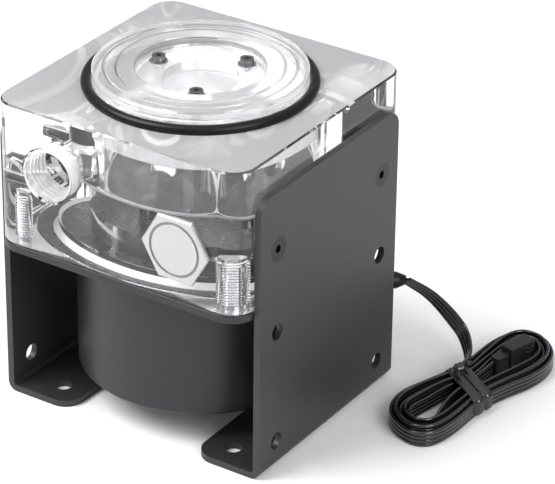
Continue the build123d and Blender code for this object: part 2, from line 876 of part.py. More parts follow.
hank_outline = around(near_rounds + far_rounds)
near_hole = around(inset(near_rounds, hank_wall) + [near_hole_tip])
far_hole = around(inset(far_rounds, hank_far_wall) + [far_hole_tip])
with BuildPart() as cable_hank:
    with BuildSketch(hank_plane):
        add(hank_outline)
        with Locations((left_waist_reach, left_waist_width + left_waist_radius)):
            Circle(left_waist_radius, mode=Mode.SUBTRACT)
        with Locations((right_waist_reach, -right_waist_width - right_waist_radius)):
            Circle(right_waist_radius, mode=Mode.SUBTRACT)
        add(near_hole, mode=Mode.SUBTRACT)
        add(far_hole, mode=Mode.SUBTRACT)
    extrude(amount=ribbon_width)
finish(cable_hank, "cable_hank")

# Two flat wraps of the tie round the waist of the hank
tie_slant = math.radians(tie_turn - hank_angle + 90)
waist_width = left_waist_width + right_waist_width
tie_inner_width = waist_width / math.cos(tie_slant) + tie_slack
tie_across = (left_waist_width - right_waist_width) / 2
with BuildPart() as cable_tie:
    for sign in (-1, 1):
        tie_place = Vector(tie_reach + sign * tie_gap / 2, tie_across, ribbon_width / 2)
        tie_plane = Plane(
            origin=hank_plane.from_local_coords(tie_place),
            x_dir=Vector(1, 0, 0).rotate(Axis.Z, tie_turn),
            z_dir=Vector(0, 1, 0).rotate(Axis.Z, tie_turn),
        )
        with BuildSketch(tie_plane):
            RectangleRounded(
                tie_inner_width + 2 * tie_thickness,
                ribbon_width + 2 * seat_gap + 2 * tie_thickness,
                tie_thickness * 2,
            )
            RectangleRounded(
                tie_inner_width,
                ribbon_width + 2 * seat_gap,
                tie_thickness,
                mode=Mode.SUBTRACT,
            )
        extrude(amount=tie_width / 2, both=True)
finish(cable_tie, "cable_tie")

# Free stretch of cable: straight runs joined by arcs as large as fit
route = [gland_tip] + [Vector(*point) for point in cable_route]
runs = [(b - a).length for a, b in zip(route, route[1:])]
radii = []
for index in range(1, len(route) - 1):
    before = route[index] - route[index - 1]
    after = route[index + 1] - route[index]
    half_turn = math.radians(before.get_angle(after)) / 2
    radii.append(0.45 * min(runs[index - 1], runs[index]) / math.tan(half_turn))
print("cable arc radii:", [round(radius, 1) for radius in radii])
with BuildPart() as cable_lead:
    with BuildLine() as lead_line:
        FilletPolyline(*route, radius=radii)
    with BuildSketch(Plane(origin=gland_tip, z_dir=lead_line.line % 0)):
        Circle(cable_radius)
    sweep()
lead_length = lead_line.wire().length
section_area = math.pi * cable_radius**2
print("cable length:", round(lead_length, 1))
volume_share = cable_lead.part.volume / (section_area * lead_length)
print("volume over section times length:", round(volume_share, 4))
finish(cable_lead, "cable_lead")

# Connector standing in the far loop, and the cover behind it
along_connector = Vector(1, 0, 0).rotate(Axis.Z, connector_turn)
connector_base = Plane(
    origin=Vector(*connector_place, hank_bottom) - along_connector * connector_length / 2,
    x_dir=along_connector,
    z_dir=(0, 0, 1),
)
mouth_middle = Vector(connector_length, 0, connector_height / 2)
connector_mouth = Plane(
    origin=connector_base.from_local_coords(mouth_middle),
    x_dir=(0, 0, 1),
    z_dir=along_connector,
)
side_middle = Vector(connector_window_reach, -connector_width / 2, connector_height / 2)
connector_side = Plane(
    origin=connector_base.from_local_coords(side_middle),
    x_dir=along_connector,
    z_dir=-connector_base.y_dir,
)
with BuildPart() as connector_housing:
    with BuildSketch(connector_base):
        with Locations((connector_length / 2, 0)):
            Rectangle(connector_length, connector_width)
    extrude(amount=connector_height)
    with BuildSketch(connector_mouth):
        with GridLocations(connector_pitch, 0, connector_ways, 1):
            Rectangle(connector_way_width, connector_way_height)
    extrude(amount=-connector_way_depth, mode=Mode.SUBTRACT)
    with BuildSketch(connector_side):
        with GridLocations(connector_window_step, connector_pitch, 2, connector_ways):
            Rectangle(connector_window_length, connector_window_height)
    extrude(amount=-connector_window_depth, mode=Mode.SUBTRACT)
finish(connector_housing, "connector_housing")

with BuildPart() as connector_cover:
    with BuildSketch(connector_base):
        with Locations((-connector_cover_length / 2, 0)):
            Rectangle(connector_cover_length, connector_cover_width)
    extrude(amount=connector_cover_height)
    fillet(connector_cover.edges().filter_by(Axis.Z), connector_cover_corner)
finish(connector_cover, "connector_cover")
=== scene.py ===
import math

import bmesh
import bpy
from mathutils import Matrix, Vector


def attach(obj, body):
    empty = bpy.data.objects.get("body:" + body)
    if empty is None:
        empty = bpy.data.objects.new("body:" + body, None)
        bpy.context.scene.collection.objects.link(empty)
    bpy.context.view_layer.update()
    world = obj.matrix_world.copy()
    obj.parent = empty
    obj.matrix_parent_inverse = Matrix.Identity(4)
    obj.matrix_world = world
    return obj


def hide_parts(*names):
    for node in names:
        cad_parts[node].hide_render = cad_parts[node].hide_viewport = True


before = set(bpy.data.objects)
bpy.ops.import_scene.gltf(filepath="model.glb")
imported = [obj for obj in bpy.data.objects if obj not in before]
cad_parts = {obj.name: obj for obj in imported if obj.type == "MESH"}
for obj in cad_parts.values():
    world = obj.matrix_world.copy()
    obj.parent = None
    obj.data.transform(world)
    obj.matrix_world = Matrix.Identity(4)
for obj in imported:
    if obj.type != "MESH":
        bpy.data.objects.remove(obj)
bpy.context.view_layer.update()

# Lengths are written in millimetres and multiplied by MM where they are used
MM = 0.001

# Camera, solved from the block's edges in the photograph
picture_width_px = 555
focal_length_px = 3125.41
sensor_width_mm = 36.0
camera_place = Vector((374.765, -539.616, 398.814)) * MM
camera_yaw = 33.177
camera_pitch = -28.699
camera_roll = 0.724

# Meshes copied from the CAD nodes
weld_distance = 0.0005
sliver_length = 0.0002

# Clear block
half_block = 35.0
block_corner_radius = 6.3
block_bottom = 45.0
block_top = 81.5
plate_gap = 0.04
pump_seat_radius = 27.9
pump_seat_chamfer = 1.6
pump_seat_top = 47.3
pump_seat_relief = 0.8
pump_roof = 53.3
tank_radius = 24.6
tank_floor = 61.5
tank_fillet = 2.0
gasket_edge = 34.0
gasket_groove = 0.35

# How far the ring cutters reach past the faces they cut, the relief's less than the others
cutter_reach = 0.1
relief_reach = 0.05

# Where the block's finishes change: depth of the polished skin, how far under the pump's roof the
# seat's slopes lie, and how far a face's normal points along an axis on slopes, the top and flats
outer_skin = 0.45
slopes_under_roof = 4.0
slope_least, slope_most = 0.3, 0.95
top_least = 0.9
flat_least = 0.5

# Slack in the tests of where a face lies
level_slack = 0.01
wall_slack = 0.05
bore_slack = 0.1
port_slack = 1.0

# Ports as (x, height, side of the block): the inlet in front and the outlet behind
ports = ((-18.9, 66.0, -1), (18.9, 53.0, 1))
port_radius = 6.58
port_pitch = 1.337
port_ridge = 0.8
port_thread_depth = 7.6
port_thread_shift = 0.2
port_turn_steps = 56

# Tapped holes in the block's corners
corner_offset = 28.6
corner_radius = 2.05
corner_pitch = 0.7
corner_groove = 0.45
corner_hole_depth = 13.0
corner_thread_shortfall = 1.6
corner_thread_start = 0.8
corner_turn_steps = 28

# Thread forms as shares of the pitch, how far a thread's foot goes past the hole's wall, and
# how many thread heights it would rise in one turn at its ends
ridge_base_share = 0.92
groove_base_share = 0.9
crest_share = 0.14
thread_foot = 0.06
thread_rise = 3

# Badge
badge_x = 17.7
badge_height = 58.7
badge_thickness = 1.1
badge_groove_radius = 6.9
badge_ring_scale = 420
badge_ring_strength = 0.5
badge_ring_depth = 0.02

# Cap
cap_radius = 25.45
cap_top = 86.0
cap_edge = 0.45
neck_bottom = 79.5
skirt_radius = 24.5
skirt_bottom = 73.9
skirt_edge = 0.4
cap_bore = 9.2
ledge_height = 81.3
window_seat = 15.3
recess_edge = 0.25

# Fine lines round the cap's side: their size, and heights above the neck's bottom
side_line = 0.35
side_line_heights = (0.9, 2.1, 3.3, 4.5)

# Turned rings on the cap's top as (radius, depth), and where rings, lines and recess are shaded
cap_rings = [
    (23.05, 0.0), (22.85, 0.5), (22.4, 0.5), (22.2, 0.15),
    (20.15, 0.15), (20.0, 0.6), (19.55, 0.6), (19.4, 0.1),
]
cap_face_depth = 0.1
shaded_rings = ((19.5, 20.05), (22.35, 22.9))
shaded_ring_depth = 0.7
shaded_line_rise = 3.0
shaded_recess_depth = 1.0
shaded_recess_reach = 0.3

# Round seal under the cap
seal_radius = 26.75
seal_height = 82.29
seal_section = 2.5

# Flat cable: four joined conductors, wound on edge
ribbon_width = 4.1
conductor_count = 4
conductor_pitch = 1.02
conductor_radius = 0.51
conductor_thickness = 0.88
conductor_steps = 5
web_half = 0.2
line_step = 0.5
gland_tip = (35.99, 35.99, 23.5)
free_points = [
    (37.2, 37.5, 22.0),
    (40.0, 40.1, 19.3),
    (42.8, 42.6, 15.3),
    (46.4, 44.9, 9.7),
    (48.5, 44.7, 7.4),
    (51.2, 42.4, 4.1),
    (52.7, 38.3, 2.7),
]

# Way the ribbon's width points, at shares of the length in which it turns flat
width_turns = [(0.0, (0.535, -0.465, 0.707)), (0.45, (0.71, 0.05, 0.70)), (1.0, (0, 0, 1))]
flat_length = 36.0

# Middles of the hank's two loops, on the floor
near_loop = Vector((56.0, 12.4, 0))
far_loop = Vector((61.4, 51.7, 0))

# Outermost turn of the hank, along it and to its left: down its left side, round, and back
hank_round = [
    (28.7, 8.0), (20.0, 6.9), (12.0, 8.8), (5.5, 9.9), (0.0, 9.0), (-4.1, 6.4),
    (-6.5, 2.6), (-7.5, -1.1), (-7.2, -4.1), (-5.2, -6.5), (-1.4, -7.3), (4.1, -7.2),
    (10.7, -6.2), (17.7, -5.7), (24.6, -6.7), (31.6, -8.4), (37.9, -8.4), (43.3, -6.6),
    (46.8, -3.3), (48.9, 0.8), (48.7, 4.9), (47.1, 7.6), (42.9, 8.9), (36.9, 9.2),
]

# Innermost turn, point for point
hank_core = [
    (30.7, 2.1), (22.0, 0.8), (13.7, 2.9), (4.6, 2.8), (2.1, 3.6), (0.3, 3.5),
    (-1.1, 2.5), (-1.8, 1.0), (-1.4, -0.7), (-0.5, -1.8), (1.4, -2.6), (4.0, -2.7),
    (12.5, -1.7), (18.5, -1.2), (24.1, -1.4), (36.5, -2.7), (40.1, -2.7), (42.0, -1.9),
    (43.9, 0.3), (44.2, 1.2), (44.1, 2.2), (43.4, 3.2), (42.2, 3.9), (40.9, 3.4),
]
whole_turns = 4
last_turn_points = 10
first_turn_lead = 0.5
hank_height = 2.6
loop_stagger = 0.5
stagger_points = 4
plug_approach = (
    (4.5, -2.0, 0.3), (11.0, -0.1, 0.3), (18.0, 0.45, 0.3), (24.5, 1.0, 0.4), (29.8, 1.6, 0.5),
)

# Tie: two wraps with a wire core, whose section is (across, outwards), and its twisted ends
tie_turn = -34.0
tie_reach = 18.1
tie_across = 0.35
tie_gap = 3.4
tie_half_length = 8.15
tie_half_height = 2.24
tie_height = 2.75
tie_corner = 1.3
tie_corner_steps = 6
tie_outline = [
    (-1.45, -0.1), (-1.37, 0.06), (-1.1, 0.14), (-0.7, 0.24), (-0.35, 0.42), (0.05, 0.5), (0.45, 0.44),
    (0.8, 0.26), (1.15, 0.14), (1.37, 0.06), (1.45, -0.1), (1.35, -0.2), (-1.35, -0.2),
]
twist_from = (18.4, 6.4, 5.0)
twist_to = (25.0, 5.2, 5.4)
twist_turns = 1.1
twist_steps = 28
twist_corners = 12
twist_half_width = 1.35
twist_half_thickness = 0.8
twist_taper_start = 0.06
twist_taper_span = 0.88
twist_taper_least = 0.04

# Materials: values that many of them share, and the part of a noise's range that they follow
acrylic_ior = 1.49
acrylic_bump = 0.3
lamp_share = 0.75
# Veil of the block's top face: painted light that lightens it
painted_light_veil_colour = (0.93, 0.935, 0.95)
painted_light_veil_share = 0.3
matte_spread = 0.08
matte_bump = 0.5
metal_spread = 0.12
metal_bump = 0.25
noise_low, noise_high = 0.3, 0.7

# Strength of the world's white: in diffuse light, where it is seen, and by height in reflections
diffuse_strength = 0.55
seen_strength = 1.0
reflected_low, reflected_high = 0.3, 1.0
reflected_from, reflected_to = 0.35, 0.9

# Floor in millimetres, and what the lamps point at in metres
floor_half = 3000
floor_drop = 0.02
floor_colour = (0.93, 0.93, 0.93)
floor_roughness = 0.6
floor_gloss = 0.2
lamp_aim = (0, 0, 0.04)


def use(obj):
    """Link a new object to the scene."""
    bpy.context.scene.collection.objects.link(obj)
    return obj


def smooth(mesh, angle=30.0):
    """Smooth shading with sharp edges above an angle in degrees."""
    mesh.shade_smooth()
    mesh.set_sharp_from_angle(angle=math.radians(angle))


def mesh_piece(name, points, faces, angle=30.0):
    """Object from points in millimetres and faces."""
    mesh = bpy.data.meshes.new(name)
    mesh.from_pydata([Vector(p) * MM for p in points], [], faces)
    mesh.validate()
    smooth(mesh, angle)
    return use(bpy.data.objects.new(name, mesh))


def face_outwards(obj):
    """Make the faces of a closed mesh point outwards."""
    bm = bmesh.new()
    bm.from_mesh(obj.data)
    bmesh.ops.recalc_face_normals(bm, faces=bm.faces)
    bm.to_mesh(obj.data)
    bm.free()


def tube_faces(first, rows, count, closed=False):
    """Faces of a tube: rows of count points each, from point number first on, with or without ends."""
    faces = []
    for row in range(rows if closed else rows - 1):
        here = first + row * count
        beyond = first + (row + 1) % rows * count
        for side in range(count):
            after = (side + 1) % count
            faces.append([here + side, here + after, beyond + after, beyond + side])
    if not closed:
        last = first + (rows - 1) * count
        faces.append(list(range(first, first + count))[::-1])
        faces.append(list(range(last, last + count)))
    return faces


def revolved(name, profile, segments=128, angle=30.0):
    """Closed ring or disc: a closed profile of (radius, height) turned about +Z."""
    points = []
    for radius, height in profile:
        for step in range(segments):
            turn = 2 * math.pi * step / segments
            points.append((radius * math.cos(turn), radius * math.sin(turn), height))
    faces = tube_faces(0, len(profile), segments, closed=True)
    obj = mesh_piece(name, points, faces, angle)
    face_outwards(obj)
    return obj


def rounded(corners, radius, steps):
    """Closed outline of a polygon with each corner rounded by a radius."""
    outline = []
    for index, corner in enumerate(corners):
        here = Vector(corner)
        before = (Vector(corners[index - 1]) - here).normalized()
        after = (Vector(corners[(index + 1) % len(corners)]) - here).normalized()
        half = before.angle(after) / 2
        reach = radius / math.tan(half)
        centre = here + (before + after).normalized() * radius / math.sin(half)
        start = here + before * reach - centre
        end = here + after * reach - centre
        sweep = start.angle_signed(end)
        for step in range(steps + 1):
            arm = start.copy()
            arm.rotate(Matrix.Rotation(-sweep * step / steps, 2))
            outline.append(tuple(centre + arm))
    return outline


def helix_ridge(name, radius, height, pitch, length, base, crest, segments):
    """Closed helix round a hole about +Z, from z = 0 up. A negative height makes a cutter."""
    foot = math.copysign(thread_foot, height)
    count = int(length / pitch * segments)
    points = []
    for step in range(count + 1):
        turn = 2 * math.pi * step / segments
        along = pitch * step / segments
        fade = min(1.0, thread_rise * step / segments, thread_rise * (count - step) / segments)
        top = -height * fade
        for reach, half in ((foot, base / 2), (top, crest / 2), (top, -crest / 2), (foot, -base / 2)):
            r = radius + reach
            points.append((r * math.cos(turn), r * math.sin(turn), along + half))
    obj = mesh_piece(name, points, tube_faces(0, count + 1, 4))
    face_outwards(obj)
    return obj


def combined(obj, others, operation):
    """Join or cut other closed meshes, and leave one mesh."""
    for other in others:
        step = obj.modifiers.new("step", "BOOLEAN")
        step.operation = operation
        step.solver = "MANIFOLD"
        step.object = other
    result = bpy.data.meshes.new_from_object(obj.evaluated_get(bpy.context.evaluated_depsgraph_get()))
    obj.modifiers.clear()
    obj.data = result
    for other in others:
        bpy.data.objects.remove(other)
    return obj


def copied(node, name):
    """Welded copy of a CAD node's mesh, to build on."""
    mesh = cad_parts[node].data.copy()
    mesh.name = name
    obj = use(bpy.data.objects.new(name, mesh))
    bm = bmesh.new()
    bm.from_mesh(mesh)
    bmesh.ops.remove_doubles(bm, verts=bm.verts, dist=weld_distance * MM)
    bmesh.ops.dissolve_degenerate(bm, edges=bm.edges, dist=sliver_length * MM)
    bm.to_mesh(mesh)
    bm.free()
    if mesh.has_custom_normals:
        mesh.attributes.remove(mesh.attributes["custom_normal"])
    mesh.materials.clear()
    return obj


def weigh_normals(obj):
    """Modifier that keeps large flat faces flat in smooth shading."""
    step = obj.modifiers.new("weighted", "WEIGHTED_NORMAL")
    step.keep_sharp = True
    step.weight = 100


def soften_edges(node, width):
    """Small rounding on a CAD node's edges, in millimetres."""
    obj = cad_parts[node]
    weld = obj.modifiers.new("weld", "WELD")
    weld.merge_threshold = weld_distance * MM
    bevel = obj.modifiers.new("rounding", "BEVEL")
    bevel.width = width * MM
    bevel.segments = 3
    bevel.limit_method = "ANGLE"
    bevel.angle_limit = math.radians(40)
    bevel.use_clamp_overlap = True
    weigh_normals(obj)


# Materials


def new_material(name, colour, roughness, metallic=0.0):
    """Principled material with its constant values on the shader's own sockets."""
    material = bpy.data.materials.new(name)
    material.use_nodes = True
    shader = material.node_tree.nodes["Principled BSDF"]
    shader.inputs["Base Color"].default_value = (*colour, 1)
    shader.inputs["Roughness"].default_value = roughness
    shader.inputs["Metallic"].default_value = metallic
    return material, shader


def add_noise(material, scale, detail=3.0, stretch=(1, 1, 1)):
    """Noise in the object's own coordinates, scale in features per metre."""
    tree = material.node_tree
    place = tree.nodes.new("ShaderNodeTexCoord")
    turn = tree.nodes.new("ShaderNodeMapping")
    turn.inputs["Scale"].default_value = stretch
    noise = tree.nodes.new("ShaderNodeTexNoise")
    noise.inputs["Scale"].default_value = scale
    noise.inputs["Detail"].default_value = detail
    tree.links.new(place.outputs["Object"], turn.inputs["Vector"])
    tree.links.new(turn.outputs["Vector"], noise.inputs["Vector"])
    return noise.outputs["Fac"]


def add_blend(material, value, low, high):
    """Colour between two others that follows a noise value."""
    tree = material.node_tree
    blend = tree.nodes.new("ShaderNodeMix")
    blend.data_type = "RGBA"
    blend.inputs["A"].default_value = (*low, 1)
    blend.inputs["B"].default_value = (*high, 1)
    tree.links.new(value, blend.inputs["Factor"])
    return blend.outputs["Result"]


def add_range(material, value, low, high):
    """Number between two others that follows a noise value."""
    tree = material.node_tree
    span = tree.nodes.new("ShaderNodeMapRange")
    span.inputs["From Min"].default_value = noise_low
    span.inputs["From Max"].default_value = noise_high
    span.inputs["To Min"].default_value = low
    span.inputs["To Max"].default_value = high
    tree.links.new(value, span.inputs["Value"])
    return span.outputs["Result"]


def add_bump(material, shader, height, strength, distance):
    """Bump from a height value, distance in millimetres."""
    tree = material.node_tree
    bump = tree.nodes.new("ShaderNodeBump")
    bump.inputs["Strength"].default_value = strength
    bump.inputs["Distance"].default_value = distance * MM
    tree.links.new(height, bump.inputs["Height"])
    tree.links.new(bump.outputs["Normal"], shader.inputs["Normal"])


def let_lamps_through(material, shader):
    """Let a share of the lamps' light pass straight through clear plastic."""
    tree = material.node_tree
    output = tree.nodes["Material Output"]
    path = tree.nodes.new("ShaderNodeLightPath")
    clear = tree.nodes.new("ShaderNodeBsdfTransparent")
    clear.inputs["Color"].default_value = (lamp_share, lamp_share, lamp_share, 1)
    mix = tree.nodes.new("ShaderNodeMixShader")
    tree.links.new(path.outputs["Is Shadow Ray"], mix.inputs["Fac"])
    tree.links.new(shader.outputs["BSDF"], mix.inputs[1])
    tree.links.new(clear.outputs["BSDF"], mix.inputs[2])
    tree.links.new(mix.outputs["Shader"], output.inputs["Surface"])


def add_veil(material, share):
    """Mix a white translucent veil into a clear surface, so that light spreads as it passes: painted light
    on the block's top.
    """
    tree = material.node_tree
    mixer = next(node for node in tree.nodes if node.type == "MIX_SHADER")
    shader = tree.nodes["Principled BSDF"]
    spread = tree.nodes.new("ShaderNodeBsdfTranslucent")
    spread.inputs["Color"].default_value = (*painted_light_veil_colour, 1)
    veil = tree.nodes.new("ShaderNodeMixShader")
    veil.inputs["Fac"].default_value = share
    tree.links.new(shader.outputs["BSDF"], veil.inputs[1])
    tree.links.new(spread.outputs["BSDF"], veil.inputs[2])
    tree.links.new(veil.outputs["Shader"], mixer.inputs[1])


def clear_plastic(name, tint, roughness, grain, distance, spread, clear=1.0):
    """Clear acrylic, polished or whitened by a cutter: clear is the share that light goes through."""
    material, shader = new_material(name, tint, roughness)
    shader.inputs["IOR"].default_value = acrylic_ior
    shader.inputs["Transmission Weight"].default_value = clear
    value = add_noise(material, grain)
    rough = add_range(material, value, roughness, roughness + spread)
    material.node_tree.links.new(rough, shader.inputs["Roughness"])
    add_bump(material, shader, value, acrylic_bump, distance)
    let_lamps_through(material, shader)
    return material


def matte(name, low, high, roughness, grain, distance, gloss=0.5):
    """Moulded plastic, rubber or powder coat: two near colours, fine grain."""
    material, shader = new_material(name, high, roughness)
    shader.inputs["Specular IOR Level"].default_value = gloss
    value = add_noise(material, grain, detail=4.0)
    rough = add_range(material, value, roughness, roughness + matte_spread)
    links = material.node_tree.links
    links.new(add_blend(material, value, low, high), shader.inputs["Base Color"])
    links.new(rough, shader.inputs["Roughness"])
    add_bump(material, shader, value, matte_bump, distance)
    return material


def metal(name, colour, roughness, grain, stretch, distance):
    """Bright or blackened metal with fine drawn marks."""
    material, shader = new_material(name, colour, roughness, metallic=1.0)
    value = add_noise(material, grain, detail=2.0, stretch=stretch)
    rough = add_range(material, value, roughness, roughness + metal_spread)
    material.node_tree.links.new(rough, shader.inputs["Roughness"])
    add_bump(material, shader, value, metal_bump, distance)
    return material


polished = clear_plastic("acrylic_polished", (0.945, 0.95, 0.96), 0.0, 60, 0.02, 0.03)
machined = clear_plastic("acrylic_machined", (0.90, 0.905, 0.92), 0.04, 900, 0.01, 0.05, 0.98)
turned = clear_plastic("acrylic_turned", (0.95, 0.955, 0.965), 0.06, 900, 0.02, 0.08, 0.79)
milled = clear_plastic("acrylic_milled", (0.94, 0.945, 0.955), 0.1, 900, 0.03, 0.1, 0.82)
coat = matte("powder_coat", (0.016, 0.017, 0.018), (0.028, 0.029, 0.031), 0.42, 2500, 0.03)
moulded = matte("moulded_black", (0.009, 0.0095, 0.011), (0.016, 0.017, 0.02), 0.38, 1800, 0.015)
rubber = matte("seal_rubber", (0.004, 0.004, 0.005), (0.008, 0.008, 0.009), 0.3, 1200, 0.01, gloss=0.25)
# Block's top face: milky white with a veil, painted light that makes the top look lit from above
painted_light_top = clear_plastic("acrylic_painted_light_top", (0.92, 0.925, 0.94), 0.02, 300, 0.01, 0.06, 0.56)
add_veil(painted_light_top, painted_light_veil_share)
threaded = clear_plastic("acrylic_threaded", (0.93, 0.935, 0.945), 0.08, 900, 0.02, 0.08, 0.6)
window_clear = clear_plastic("window_clear", (0.95, 0.955, 0.965), 0.0, 60, 0.02, 0.03, 0.87)
shaded = clear_plastic("acrylic_shaded", (0.42, 0.43, 0.46), 0.1, 900, 0.02, 0.05, 0.9)
whitened = clear_plastic("acrylic_whitened", (0.93, 0.935, 0.94), 0.3, 900, 0.03, 0.1, 0.25)
# Black painted on faces of the clear block: painted shade on the flat faces of the pump's recess, and on
# the bottom where it lies on the black plate
pump_black = matte("pump_black", (0.012, 0.012, 0.014), (0.03, 0.03, 0.034), 0.25, 700, 0.01)
cable_skin = matte("cable_skin", (0.004, 0.004, 0.006), (0.008, 0.008, 0.011), 0.13, 900, 0.01, gloss=0.85)
tie_skin = matte("tie_skin", (0.006, 0.006, 0.007), (0.010, 0.010, 0.011), 0.12, 900, 0.01, gloss=0.8)
bright_steel = metal("bright_steel", (0.62, 0.62, 0.63), 0.25, 900, (1, 1, 8), 0.01)
black_steel = metal("black_steel", (0.05, 0.05, 0.052), 0.35, 1200, (1, 1, 1), 0.01)
silver = metal("badge_silver", (0.54, 0.545, 0.535), 0.36, 1500, (1, 1, 1), 0.02)
# Darker metal in the badge's groove: painted shade
groove_painted_shade = metal("badge_groove", (0.3, 0.3, 0.3), 0.5, 1500, (1, 1, 1), 0.02)
copper = metal("coil_copper", (0.7, 0.35, 0.18), 0.3, 1500, (1, 1, 10), 0.05)
screw_steel = metal("screw_steel", (0.24, 0.24, 0.25), 0.3, 1200, (1, 1, 1), 0.01)
dull_steel = metal("core_steel", (0.35, 0.35, 0.37), 0.4, 900, (1, 1, 14), 0.05)
board = matte("board_green", (0.01, 0.08, 0.035), (0.015, 0.12, 0.05), 0.35, 700, 0.01)
NODE_MATERIALS = {
    "pump_plate": moulded, "housing_shell": moulded, "housing_base": moulded,
    "circuit_board": board, "board_components": moulded, "separating_can": moulded,
    "can_seal": rubber, "stator_core": dull_steel, "stator_coils": copper,
    "rotor_shaft": bright_steel, "rotor_bush": moulded, "shaft_washer": bright_steel,
    "impeller": moulded, "rotor_magnet": dull_steel, "right_bracket": coat,
    "left_bracket": coat, "bracket_screws": black_steel, "front_badge": silver,
    "cable_gland": rubber, "plate_screws": bright_steel, "corner_screws": dull_steel,
    "cap_washers": dull_steel, "cap_screws": screw_steel, "cap_window": window_clear,
    "tank_cap": machined, "tank_block": machined, "cap_seal": rubber, "cable_hank": cable_skin,
    "cable_tie": moulded, "cable_lead": cable_skin, "connector_housing": moulded,
    "connector_cover": moulded,
}
SOFT_EDGES = {
    "connector_housing": 0.3, "connector_cover": 0.3, "right_bracket": 0.25,
    "left_bracket": 0.25, "pump_plate": 0.25, "front_badge": 0.12, "cable_gland": 0.3,
}


def finish_badge():
    """Fine turned rings on the badge's face, and darker metal in the groove round them as painted shade.
    """
    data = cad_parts["front_badge"].data
    data.materials.append(groove_painted_shade)
    groove_floor = -half_block - badge_thickness + wall_slack
    for face in data.polygons:
        place = face.center / MM
        reach = math.hypot(place.x - badge_x, place.z - badge_height)
        deep = place.y > groove_floor and face.normal.y < -flat_least
        if deep and reach < badge_groove_radius + bore_slack:
            face.material_index = 1
    tree = silver.node_tree
    shader = tree.nodes["Principled BSDF"]
    place = tree.nodes.new("ShaderNodeTexCoord")
    shift = tree.nodes.new("ShaderNodeMapping")
    shift.vector_type = "POINT"
    shift.inputs["Location"].default_value = (-badge_x * MM, 0, -badge_height * MM)
    rings = tree.nodes.new("ShaderNodeTexWave")
    rings.wave_type = "RINGS"
    rings.rings_direction = "Y"
    rings.inputs["Scale"].default_value = badge_ring_scale
    rings.inputs["Distortion"].default_value = 0
    tree.links.new(place.outputs["Object"], shift.inputs["Vector"])
    tree.links.new(shift.outputs["Vector"], rings.inputs["Vector"])
    add_bump(silver, shader, rings.outputs["Fac"], badge_ring_strength, badge_ring_depth)


for node, material in NODE_MATERIALS.items():
    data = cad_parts[node].data
    data.materials.clear()
    data.materials.append(material)
for node, width in SOFT_EDGES.items():
    soften_edges(node, width)
finish_badge()


# Camera


def make_camera():
    """Camera at the photograph's place."""
    data = bpy.data.cameras.new("camera")
    data.sensor_width = sensor_width_mm
    data.lens = focal_length_px / picture_width_px * sensor_width_mm
    data.clip_start = 0.05
    data.clip_end = 10
    yaw, pitch, roll = (math.radians(a) for a in (camera_yaw, camera_pitch, camera_roll))
    ahead = Vector((
        -math.sin(yaw) * math.cos(pitch),
        math.cos(yaw) * math.cos(pitch),
        math.sin(pitch),
    ))
    level = ahead.cross(Vector((0, 0, 1))).normalized()
    upright = level.cross(ahead)
    across = math.cos(roll) * level + math.sin(roll) * upright
    up = -math.sin(roll) * level + math.cos(roll) * upright
    camera = use(bpy.data.objects.new("camera", data))
    camera.matrix_world = Matrix.LocRotScale(
        camera_place,
        Matrix((across, up, -ahead)).transposed().to_quaternion(),
        None,
    )
    bpy.context.scene.camera = camera


make_camera()


# Cable


def hank_place(forward, across, height):
    """Point from its distance along the hank, to the hank's left, and up."""
    along = (far_loop - near_loop).normalized()
    left = Vector((-along.y, along.x, 0))
    return near_loop + along * forward + left * across + Vector((0, 0, height))


def hank_points():
    """Control points of the turns, each inside the one before it, and of the way to the plug."""
    count = len(hank_round)
    last = whole_turns * count + last_turn_points
    points = []
    for index in range(1, last + 1):
        inwards = (index - first_turn_lead * count) / last
        place = Vector(hank_round[index % count]).lerp(Vector(hank_core[index % count]), inwards)
        turn, passed = divmod(index + stagger_points // 2, count)
        rise = min(1.0, passed / stagger_points) * 2 - 1
        lift = loop_stagger * (rise if turn % 2 else -rise)
        points.append(hank_place(place.x, place.y, hank_height + lift))
    for forward, across, rise in plug_approach:
        points.append(hank_place(forward, across, hank_height + rise))
    return points


def cable_line():
    """Points read along the cable's smooth line, in metres."""
    route = [Vector(gland_tip)] + [Vector(p) for p in free_points] + hank_points()
    curve = bpy.data.curves.new("cable_line", "CURVE")
    curve.dimensions = "3D"
    spline = curve.splines.new("NURBS")
    spline.points.add(len(route) - 1)
    for point, place in zip(spline.points, route):
        point.co = (*(place * MM), 1)
    spline.order_u = 3
    spline.use_endpoint_u = True
    spline.resolution_u = 8
    holder = bpy.data.objects.new("cable_line", curve)
    line = [v.co.copy() for v in bpy.data.meshes.new_from_object(holder).vertices]
    bpy.data.objects.remove(holder)
    return line


def ribbon_outline():
    """Outline of four joined conductors as (across the width, through the thickness)."""
    half = []
    for index in range(conductor_count):
        centre = (index - (conductor_count - 1) / 2) * conductor_pitch
        for step in range(conductor_steps):
            turn = math.pi - math.pi * (step + 0.5) / conductor_steps
            half.append((
                centre + conductor_radius * math.cos(turn),
                max(web_half, conductor_thickness / 2 * math.sin(turn)),
            ))
    end = ribbon_width / 2
    return [(-end, 0)] + half + [(end, 0)] + [(x, -y) for x, y in reversed(half)]


def swept(name, line, outline, width_directions):
    """Closed tube of an outline along a line. The outline's first axis follows width_directions."""
    points = []
    for index, place in enumerate(line):
        before = line[max(index - 1, 0)]
        after = line[min(index + 1, len(line) - 1)]
        tangent = (after - before).normalized()
        width = width_directions[index]
        width = (width - tangent * width.dot(tangent)).normalized()
        side = tangent.cross(width)
        for across, through in outline:
            points.append((place + (width * across + side * through) * MM) / MM)
    obj = mesh_piece(name, points, tube_faces(0, len(line), len(outline)), angle=70)
    face_outwards(obj)
    return obj


